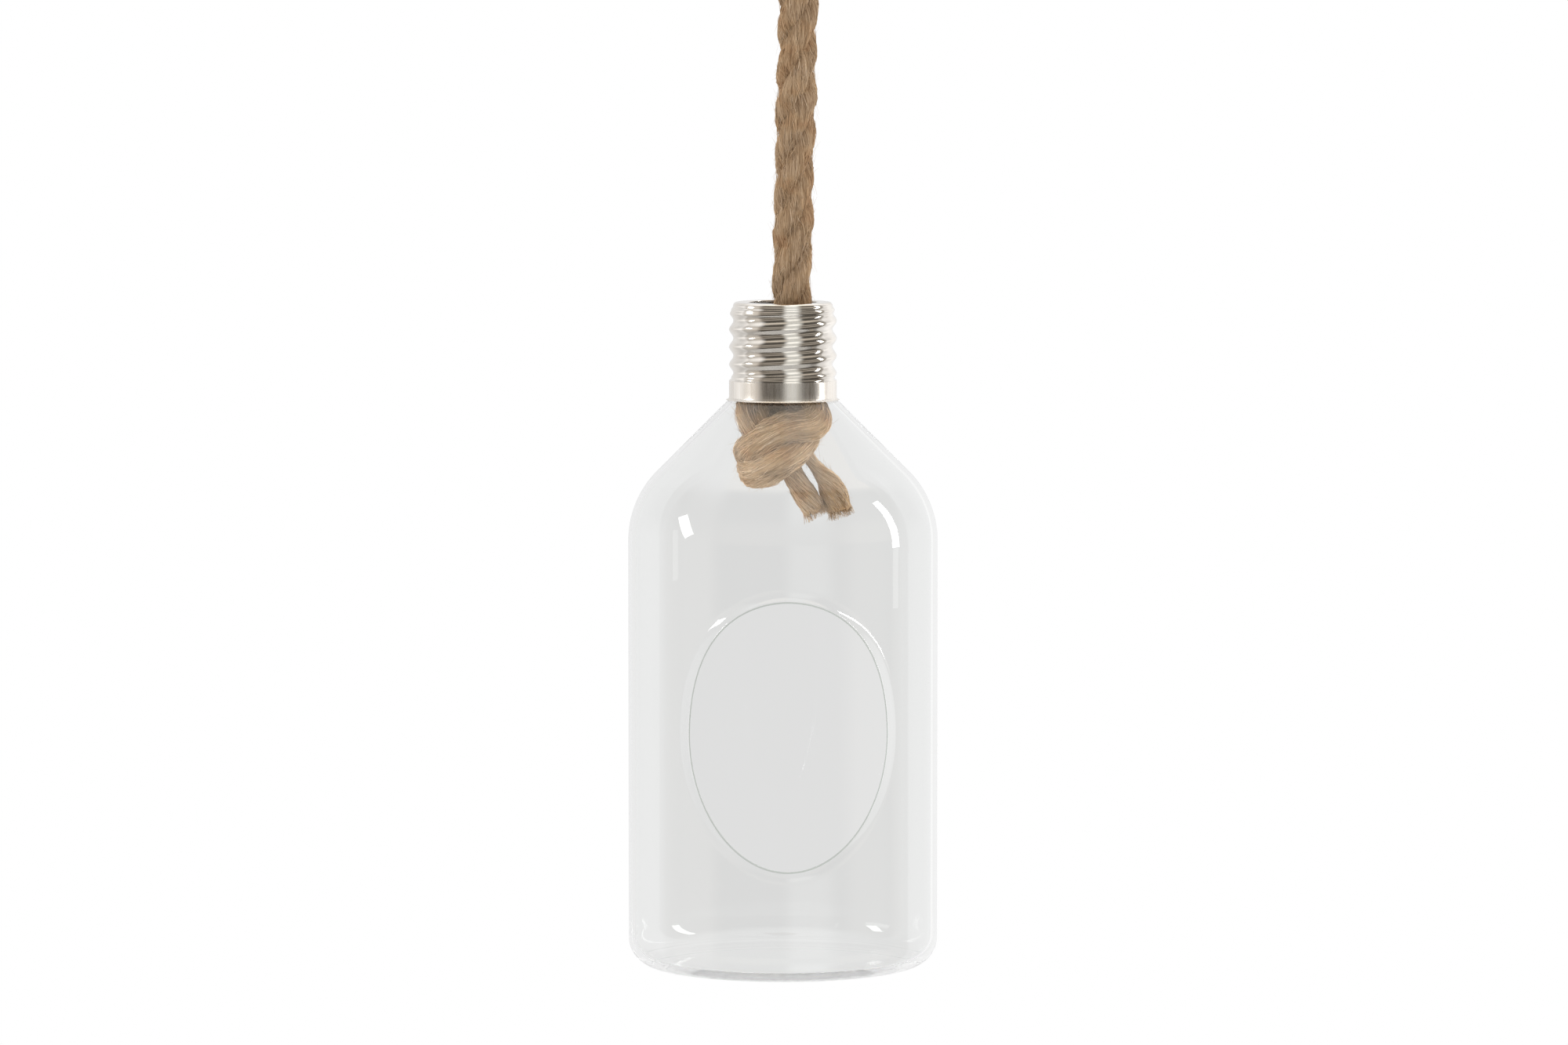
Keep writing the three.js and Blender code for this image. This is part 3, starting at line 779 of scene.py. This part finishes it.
def rope_upper(line, strands, middle):
    """The eye: up from the middle of the bend, round the hanging point and back to the short end."""
    tufts = Tufts()
    dress_rope(tufts, strands, line, slice(middle, len(line)), ROPE_RADIUS, UPPER_DENSITY)
    add_fibres(tufts, strands, line, slice(middle, middle + SEEN_ROWS), SEEN_FIBRES)
    fray_end(tufts, line, frames_along(line), ROPE_TIP_COUNT, 0.9 * ROPE_RADIUS, 2 * MM, 0.2, ROPE_TIPS)
    piece = tufts.piece("rope_upper", ROPE_MATERIALS)
    return bent_rope(piece, ["rope_eye"])


def stopper_knot():
    """The overhand knot under the neck, tied in the same rope, whose strands lie flatter there."""
    line = smooth_route(metres(KNOT_ROUTE, CAP_LIP_Z), ROPE_STEP)
    tufts = Tufts()
    strands = laid_strands(line, KNOT_ROPE_RADIUS, KNOT_LAY, KNOT_STRAND_SHARE, KNOT_COLUMNS)
    dress_rope(tufts, strands, line, slice(0, len(line)), KNOT_ROPE_RADIUS, KNOT_DENSITY)
    # The knot's jute is a paler copy of the rope's: painted light.
    piece = tufts.piece("knot_turns", KNOT_MATERIALS)
    return hand_in(piece, "stopper_knot", "knot")


def rope_tails():
    pieces = []
    for number, points in enumerate(TAIL_ROUTES, start=1):
        tufts = Tufts()
        route = smooth_route(np.array(points) * MM + (0, 0, CAP_LIP_Z, 0), TAIL_STEP)
        frayed_strand(tufts, route[:, :3], route[:, 3])
        # The tails' jute is a paler copy of the rope's, as painted light.
        piece = tufts.piece(f"frayed_strand_{number}", TAIL_MATERIALS)
        pieces.append(hand_in(piece, f"tail_strand_{number}", "knot"))
    return pieces


TWINE_LAY = 7 * MM
TWINE_FIBRE_COUNT = 700
TWINE_HAIR_COUNT = 160
TWINE_STEPS = 64
TWINE_COLUMNS = 12


def seizing_line():
    """Middle of the twine: a helix on a track of two half rounds and two straights."""
    radius = ROPE_RADIUS + SEAT_GAP + TWINE_RADIUS
    half = math.pi * radius
    gap = STANDING_LEG_X - SHORT_LEG_X
    line = []
    for i in range(SEIZING_TURNS * TWINE_STEPS + 1):
        side, run = divmod((i / TWINE_STEPS % 1) * 2 * (half + gap), half + gap)
        x, y = gap / 2 - (run - half), radius
        if run < half:
            angle = run / radius - math.pi / 2
            x, y = gap / 2 + radius * math.cos(angle), radius * math.sin(angle)
        flip = 1 - 2 * side
        z = SEIZING_TOP_Z - SEIZING_PITCH * i / TWINE_STEPS
        line.append(((STANDING_LEG_X + SHORT_LEG_X) / 2 + flip * x, flip * y, z))
    return np.array(line)


def eye_seizing():
    """Two-ply twine wound round both legs of the eye."""
    line = seizing_line()
    run, _, normals, binormals = frames_along(line)
    tufts = Tufts()
    for ply in range(2):
        turn = 2 * np.pi * run / TWINE_LAY + np.pi * ply
        reach = 0.42 * TWINE_RADIUS * (np.cos(turn)[:, None] * normals + np.sin(turn)[:, None] * binormals)
        radii = np.full(len(line), 0.62 * TWINE_RADIUS)
        centres = line + reach
        surface, own = strand_surface(centres, normals, binormals, run, radii, -turn, TWINE_COLUMNS, 0.7 * ply)
        add_surface(tufts, surface, own, centres)
        lay_fibres(tufts, surface, centres, line, TWINE_FIBRE_COUNT, *TWINE_FIBRES, 0)
        scatter_hairs(tufts, surface, line, TWINE_HAIR_COUNT, *TWINE_HAIRS, 0.6 * TWINE_RADIUS)
    piece = tufts.piece("twine_seizing", [CORE_PAINTED_SHADE, TWINE, FUZZ])
    return hand_in(piece, "eye_seizing", "hanging_eye")


def close_shape(piece, weld=0.0):
    """Joins vertices that fall together, within weld, and turns all faces outwards."""
    shape = bmesh.new()
    shape.from_mesh(piece.data)
    if weld:
        bmesh.ops.remove_doubles(shape, verts=shape.verts, dist=weld)
    bmesh.ops.recalc_face_normals(shape, faces=shape.faces)
    shape.to_mesh(piece.data)
    shape.free()


def arc(centre_r, centre_z, radius, start, end, steps):
    """Points of an arc as (radius, z), with angles in radians from the radial direction."""
    angles = np.linspace(start, end, steps + 1)
    return [(centre_r + radius * math.cos(a), centre_z + radius * math.sin(a)) for a in angles]


BOTTLE_SEGMENTS = 264
FRONT_SEGMENTS = 110
SIDE_ROWS = 64
LIP_EDGE_ROWS = 2
EDGE_PAINTED_SHADE_SLOT = 2
WELD = 0.002 * MM
FRONT_ANGLE = math.pi * FRONT_SEGMENTS / BOTTLE_SEGMENTS
SIDE_LOW_Z = BASE_Z + BASE_CORNER_RADIUS


def shoulder_shape(inset):
    """The shoulder's outline from its arc's foot up to the neck, and the level of that foot."""
    run = math.sin(SHOULDER_ANGLE)
    cone_r = CAP_CREST_RADIUS - CAP_SHEET - SEAT_GAP / run - inset * run
    cone_z = BAND_BOTTOM_Z - inset * run
    radius = BOTTLE_RADIUS - inset
    bend = SHOULDER_ARC_RADIUS - inset
    centre_r = radius - bend
    centre_z = cone_z - (centre_r + bend * run - cone_r) - bend * run
    neck_r = NECK_RADIUS - inset
    throat_z = cone_z + cone_r - neck_r
    line = arc(centre_r, centre_z, bend, 0, math.pi / 2 - SHOULDER_ANGLE, 24)
    cone = [(r, z) for r, z in np.linspace(line[-1], (neck_r, throat_z), 14)[1:]]
    return [*line, *cone], centre_z


def turned(profile, angles):
    """Grid of vertices of a profile of (radius, z) turned about Z. Angle 0 faces the front, -Y."""
    rows = np.array(profile)
    grid = np.empty((len(rows), len(angles), 3))
    grid[..., 0] = rows[:, :1] * np.sin(angles)
    grid[..., 1] = -rows[:, :1] * np.cos(angles)
    grid[..., 2] = rows[:, 1:]
    return grid


def oval_foot(turn, margin=0.0):
    """Angle and level of the oval opening's edge, grown by a margin, on the middle of the wall."""
    lift = np.sin(turn)
    fullness = np.where(lift > 0, 1 + OPENING_TOP_FULLNESS * lift**2, 1)
    x = OPENING_SIDE_OFFSET + (OPENING_WIDTH / 2 + margin) * np.cos(turn) * fullness
    z = OPENING_Z + (OPENING_HEIGHT / 2 + margin) * lift
    return np.arcsin(x / WALL_MIDDLE), z


def lip_section():
    """The lip as (away from the opening, out of the wall), from the outside round to the inside."""
    outside, inside = [], []
    for share in np.linspace(0, 1, 15):
        bend = share * LIP_FLARE
        away = LIP_BEND_RADIUS * (math.sin(LIP_FLARE) - math.sin(bend))
        out = LIP_BEND_RADIUS * (1 - math.cos(bend))
        half = (WALL + (LIP_THICKNESS - WALL) * share**2) / 2
        outside.append((away + half * math.sin(bend), out + half * math.cos(bend)))
        inside.append((away - half * math.sin(bend), out - half * math.cos(bend)))
    proud = LIP_BEND_RADIUS * (1 - math.cos(LIP_FLARE))
    half = LIP_THICKNESS / 2
    turns = np.linspace(0, math.pi, 13)[1:-1] + math.pi / 2 - LIP_FLARE
    tip = [(half * math.cos(a), proud + half * math.sin(a)) for a in turns]
    return [*outside, *tip, *inside[::-1]]


def lip_ring(angle, level, out):
    """One ring of the lip, whose proud part leans towards the front."""
    lean = angle * (1 - LIP_LEAN * min(1, max(0, abs(out) / WALL - 0.5)))
    x = WALL_MIDDLE * np.sin(angle) + out * np.sin(lean)
    return np.column_stack([x, -WALL_MIDDLE * np.cos(angle) - out * np.cos(lean), level])


def front_patch(side_high_z, inner_high_z, inner_low_z):
    """Rings from the outer wall's rectangle over the lip to the inner wall's rectangle."""
    across = np.linspace(-FRONT_ANGLE, FRONT_ANGLE, FRONT_SEGMENTS + 1)

    def rectangle(low_z, high_z):
        levels = np.linspace(low_z, high_z, SIDE_ROWS + 1)
        bottom = [(a, low_z) for a in across[:-1]]
        right = [(FRONT_ANGLE, z) for z in levels[:-1]]
        top = [(a, high_z) for a in across[:0:-1]]
        left = [(-FRONT_ANGLE, z) for z in levels[:0:-1]]
        return np.array([*bottom, *right, *top, *left])

    outer_edge = rectangle(SIDE_LOW_Z, side_high_z)
    inner_edge = rectangle(inner_low_z, inner_high_z)
    middle_angle = math.asin(OPENING_SIDE_OFFSET / WALL_MIDDLE)
    turn = np.arctan2(
        (outer_edge[:, 1] - OPENING_Z) / OPENING_HEIGHT,
        (outer_edge[:, 0] - middle_angle) * WALL_MIDDLE / OPENING_WIDTH,
    )
    angle, level = oval_foot(turn)
    ahead, ahead_level = oval_foot(turn + 1e-4)
    behind, behind_level = oval_foot(turn - 1e-4)
    along = unit(np.column_stack([(ahead - behind) * WALL_MIDDLE, ahead_level - behind_level]))
    away = np.column_stack([along[:, 1], -along[:, 0]])
    rings = []
    for far, out in lip_section():
        rings.append(lip_ring(angle + away[:, 0] * far / WALL_MIDDLE, level + away[:, 1] * far, out))
    walls = []
    sides = [(outer_edge, rings[0], BOTTLE_RADIUS), (inner_edge, rings[-1], BOTTLE_RADIUS - WALL)]
    for edge, ring, radius in sides:
        at = np.arctan2(ring[:, 0], -ring[:, 1])
        for share in np.linspace(0, 1, 19)[1:] ** 1.25:
            turned_to = at + (edge[:, 0] - at) * share
            z = ring[:, 2] + (edge[:, 1] - ring[:, 2]) * share
            walls.append(np.column_stack([radius * np.sin(turned_to), -radius * np.cos(turned_to), z]))
    return np.stack([*walls[17::-1], *rings, *walls[18:]])


def glass_bottle():
    """One closed glass wall: base, side with its flared opening, shoulder and neck."""
    quarter = math.pi / 2
    corner_r = BOTTLE_RADIUS - BASE_CORNER_RADIUS
    inner_corner = BASE_CORNER_RADIUS - WALL
    floor_z = BASE_Z + BASE_THICKNESS
    outer_shoulder, side_high_z = shoulder_shape(0)
    inner_shoulder, inner_high_z = shoulder_shape(WALL)
    inner_low_z = floor_z + inner_corner
    angles = -FRONT_ANGLE + 2 * np.pi * np.arange(BOTTLE_SEGMENTS) / BOTTLE_SEGMENTS
    punt = []
    for share in np.linspace(0, 1, 14):
        punt.append((PUNT_RADIUS * share, BASE_Z + PUNT_HEIGHT * math.cos(quarter * share) ** 2))
    base = [*punt, (0.5 * (PUNT_RADIUS + corner_r), BASE_Z)]
    base += arc(corner_r, BASE_Z + BASE_CORNER_RADIUS, BASE_CORNER_RADIUS, -quarter, 0, 14)
    rim = arc(NECK_RADIUS - WALL / 2, NECK_TOP_Z - WALL / 2, WALL / 2, 0, math.pi, 10)
    top = [*outer_shoulder, *rim, *inner_shoulder[::-1]]
    floor = arc(corner_r, inner_low_z, inner_corner, 0, -quarter, 12)
    for share in (0.9, 0.75, 0.6, 0.4, 0.2, 0):
        floor.append((corner_r * share, floor_z + 0.4 * PUNT_HEIGHT * (1 - share**2)))
    back = angles[FRONT_SEGMENTS:]
    back = np.append(back, angles[0] + 2 * np.pi)
    outer_back = [(BOTTLE_RADIUS, z) for z in np.linspace(SIDE_LOW_Z, side_high_z, SIDE_ROWS + 1)]
    inner_back = [(BOTTLE_RADIUS - WALL, z) for z in np.linspace(inner_low_z, inner_high_z, SIDE_ROWS + 1)]
    vertices, faces, face_glass, count = [], [], [], 0
    inner_row = len(outer_shoulder) + len(rim) // 2
    patch = front_patch(side_high_z, inner_high_z, inner_low_z)
    parts = [
        (turned(base, angles), True, len(base)),
        (turned(top, angles), True, inner_row),
        (turned(floor, angles), True, 0),
        (turned(outer_back, back), False, len(outer_back)),
        (turned(inner_back, back), False, 0),
        (patch, True, len(patch) // 2),
    ]
    for grid, closed, first_inner in parts:
        rows, columns = grid.shape[:2]
        faces += grid_faces(rows, columns, count, closed).tolist()
        is_inner = np.arange(rows - 1) >= first_inner
        glass = is_inner.astype(int)
        if grid is patch:
            # The tip's rows take the darker glass, painted shade for the rim's dark line.
            tip = len(glass) // 2
            glass[tip - LIP_EDGE_ROWS : tip + LIP_EDGE_ROWS + 1] = EDGE_PAINTED_SHADE_SLOT
        face_glass += np.repeat(glass, columns if closed else columns - 1).tolist()
        vertices.append(grid.reshape(-1, 3))
        count += rows * columns
    materials = [GLASS, INNER_GLASS, EDGE_GLASS_PAINTED_SHADE]
    piece = add_mesh("clear_bottle", np.vstack(vertices), faces, materials, face_materials=face_glass)
    close_shape(piece, WELD)
    return hand_in(piece, "glass_bottle", "bottle")


CAP_SEGMENTS = 160
THREAD_ROWS = 110


def cap_face(inset):
    """One face of the cap's sheet, from the hole over the rolled rim and down the thread and the band."""
    roll_r = CAP_SHOULDER_RADIUS - CAP_ROLL_RADIUS
    hole = [(r, CAP_TOP_Z - inset) for r in np.linspace(CAP_HOLE_RADIUS, roll_r, 6)[:-1]]
    roll = arc(roll_r, CAP_TOP_Z - CAP_ROLL_RADIUS, CAP_ROLL_RADIUS - inset, math.pi / 2, 0, 10)
    thread_r = CAP_CREST_RADIUS - THREAD_DEPTH / 2 - inset
    blend_z = np.linspace(CAP_TOP_Z - CAP_ROLL_RADIUS, THREAD_TOP_Z, 6)[1:-1]
    share = (np.cos(np.pi * np.linspace(0, 1, 6)[1:-1]) + 1) / 2
    neck = [(thread_r + (roll[-1][0] - thread_r) * s, z) for s, z in zip(share, blend_z)]
    thread = [(thread_r, z) for z in np.linspace(THREAD_TOP_Z, THREAD_BOTTOM_Z, THREAD_ROWS)]
    band_r = CAP_CREST_RADIUS - inset
    bead = [(band_r, THREAD_BOTTOM_Z - CAP_SHEET - drop * MM) for drop in (0, 0.15, 0.5, 2, 4)]
    flare = arc(band_r + CAP_LIP_REACH, BAND_BOTTOM_Z, CAP_LIP_REACH, math.pi, 1.5 * math.pi, 6)
    return [*hole, *roll, *neck, *thread, *bead, *flare]


def threaded_cap():
    """Plated cap pressed from sheet, its wall moved in and out along the thread's helix."""
    profile = [*cap_face(0), *cap_face(CAP_SHEET)[::-1]]
    angles = 2 * np.pi * np.arange(CAP_SEGMENTS) / CAP_SEGMENTS
    grid = turned(profile, angles)
    z = grid[..., 2]
    share = np.clip(np.minimum(THREAD_TOP_Z - z, z - THREAD_BOTTOM_Z) / THREAD_RUN_OUT, 0, 1)
    share = share * share * (3 - 2 * share)
    climb = (z - CAP_TOP_Z - THREAD_PHASE) / THREAD_PITCH
    turn = np.arctan2(grid[..., 1], grid[..., 0]) / (2 * np.pi) - 0.5
    radius = np.hypot(grid[..., 0], grid[..., 1])
    grown = (radius + THREAD_DEPTH / 2 * share * np.cos(2 * np.pi * (climb - turn))) / radius
    grid[..., :2] *= grown[..., None]
    rows = grid.shape[0]
    faces = grid_faces(rows, CAP_SEGMENTS).tolist()
    last = (rows - 1) * CAP_SEGMENTS
    for j in range(CAP_SEGMENTS):
        k = (j + 1) % CAP_SEGMENTS
        faces.append((last + j, last + k, k, j))
    vertices = grid.reshape(-1, 3)
    on_band = [int(vertices[list(face), 2].max() < THREAD_BOTTOM_Z) for face in faces]
    piece = add_mesh("plated_cap", vertices, faces, [NICKEL, BRUSHED], face_materials=on_band)
    close_shape(piece)
    return hand_in(piece, "threaded_cap", "bottle")


def world_light():
    """White behind the object, a grey sweep seen through glass, and a studio for what reflects."""
    world = bpy.data.worlds.new("studio")
    scene.world = world
    world.use_nodes = True
    tree = world.node_tree
    place = tree.nodes.new("ShaderNodeTexCoord")
    parts = tree.nodes.new("ShaderNodeSeparateXYZ")
    link(place.outputs["Generated"], parts.inputs["Vector"])
    path = tree.nodes.new("ShaderNodeLightPath")

    def maths(operation, *values):
        node = add_node(tree, "ShaderNodeMath", operation=operation)
        for socket, value in zip(node.inputs, values):
            if isinstance(value, (int, float)):
                socket.default_value = value
            else:
                link(value, socket)
        return node.outputs["Value"]

    def choose(factor, off, on):
        node = add_node(tree, "ShaderNodeMix", data_type="RGBA")
        link(factor, node.inputs["Factor"])
        for socket, value in zip(node.inputs[6:8], (off, on)):
            if isinstance(value, tuple):
                socket.default_value = (*value, 1)
            else:
                link(value, socket)
        return node.outputs[2]

    def rising(value, low, high):
        node = add_node(tree, "ShaderNodeMapRange", interpolation_type="SMOOTHSTEP")
        set_inputs(node, {"From Min": low, "From Max": high})
        link(value, node.inputs["Value"])
        return node.outputs["Result"]

    def by_height(levels, tint=STUDIO_PALE):
        stops = [((level + 1) / 2, tuple(value * part for part in tint)) for level, value in levels]
        return colour_ramp(tree, maths("MULTIPLY_ADD", slope, 0.5, 0.5), stops)

    height = parts.outputs["Z"]
    sideways, backward = parts.outputs["X"], parts.outputs["Y"]
    forward = maths("SUBTRACT", 1.0, backward)
    level = maths("ADD", maths("MULTIPLY", sideways, sideways), maths("MULTIPLY", forward, forward))
    slope = maths("DIVIDE", height, maths("SQRT", level))
    in_front = maths("MULTIPLY", maths("ARCTAN2", sideways, forward), 360 / math.pi)
    behind = maths("ARCTAN2", sideways, maths("MULTIPLY", backward, -1.0))
    behind = maths("MULTIPLY", behind, 180 / math.pi)
    change = maths("MULTIPLY", rising(backward, *BACK_START), maths("SUBTRACT", behind, in_front))
    degrees = maths("ADD", in_front, change)
    share = maths("MULTIPLY_ADD", degrees, 1 / 360, 0.5)
    around = colour_ramp(tree, share, [((angle + 180) / 360, colour) for angle, colour in STUDIO_ROUND])
    around = choose(rising(height, *CEILING_START), around, STUDIO_CEILING)
    around = choose(rising(height, *GROUND_START), around, STUDIO_GROUND)
    facing = maths("MULTIPLY", rising(degrees, *FRONT_LEFT), rising(degrees, *FRONT_RIGHT))
    sides = multiply_colours(tree, around, by_height(SIDE_LEVELS))
    sides = choose(rising(backward, *SIDES_END), sides, around)
    mirrored = choose(facing, sides, by_height(FRONT_LEVELS, FRONT_TINT))
    strip = maths("MULTIPLY", rising(degrees, *STRIP_LEFT), rising(degrees, *STRIP_RIGHT))
    direct = choose(strip, mirrored, by_height(STRIP_LEVELS, STRIP_TINT))
    through = choose(maths("COMPARE", path.outputs["Glossy Depth"], 1.0, 0.5), SWEEP_GREY, around)
    light = choose(path.outputs["Is Glossy Ray"], STUDIO_FILL, direct)
    light = choose(path.outputs["Is Transmission Ray"], light, through)
    light = choose(path.outputs["Is Camera Ray"], light, STUDIO_PALE)
    link(light, tree.nodes["Background"].inputs["Color"])


def softbox(name, azimuth, low_z, high_z, width, radiance, lean=0.0, mirrored=True):
    """An area lamp that faces the bottle's axis. Azimuth is in degrees to the camera's right."""
    height = high_z - low_z
    data = bpy.data.lights.new(name, "AREA")
    data.shape = "RECTANGLE"
    data.size, data.size_y = width, height
    data.energy = radiance * math.pi * width * height
    lamp = bpy.data.objects.new(name, data)
    a = math.radians(azimuth)
    way = Vector((math.sin(a), -math.cos(a), 0))
    lamp.location = LAMP_DISTANCE * way + Vector((0, 0, (low_z + high_z) / 2))
    turn = Quaternion((0, 0, 1), math.radians(lean))
    lamp.rotation_euler = (way.to_track_quat("Z", "Y") @ turn).to_euler()
    lamp.visible_glossy = mirrored
    scene.collection.objects.link(lamp)


def studio_floor():
    """A pale floor well below the hanging bottle, as bright as the sweep."""
    level = BASE_Z - FLOOR_DROP
    half = FLOOR_HALF
    corners = np.array([(-half, -half, level), (half, -half, level), (half, half, level), (-half, half, level)])
    material, tree, shader = node_material("pale_floor")
    set_inputs(shader, {"Base Color": (0.9, 0.9, 0.9, 1), "Roughness": 0.7})
    path = tree.nodes.new("ShaderNodeLightPath")
    emission = tree.nodes.new("ShaderNodeEmission")
    amount = add_node(tree, "ShaderNodeMath", operation="MULTIPLY")
    amount.inputs[1].default_value = FLOOR_GLOW
    link(path.outputs["Is Camera Ray"], amount.inputs[0])
    mix_surface(tree, amount.outputs["Value"], shader.outputs["BSDF"], emission.outputs["Emission"])
    floor = add_mesh("floor", corners, [(0, 1, 2, 3)], [material])
    floor.visible_glossy = False
    floor.visible_transmission = False


add_camera()
whole_line, bend_row = rope_line()
rope_strands = laid_strands(whole_line, ROPE_RADIUS, ROPE_LAY, STRAND_SHARE, STRAND_COLUMNS)
lower = rope_lower(whole_line, rope_strands, bend_row)
upper = rope_upper(whole_line, rope_strands, bend_row)
knot = stopper_knot()
tails = rope_tails()
seizing = eye_seizing()
glass_bottle()
threaded_cap()
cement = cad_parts["neck_cement"]
cement.data.materials.clear()
cement.data.materials.append(cement_material())

world_light()
softbox("left_softbox", -80, -0.165, 0.295, 0.2, 7.0, lean=38)
softbox("left_card", -79, -0.375, -0.1, 0.5, 1.3, mirrored=False)
softbox("right_softbox", 91, -0.36, 0.6, 0.16, 7.0)
softbox("right_foot", 91, -0.43, -0.36, 0.12, 0.9)
studio_floor()

scene.view_settings.view_transform = "Standard"
scene.cycles.max_bounces = LIGHT_BOUNCES
scene.cycles.transmission_bounces = LIGHT_BOUNCES
scene.cycles.glossy_bounces = LIGHT_BOUNCES
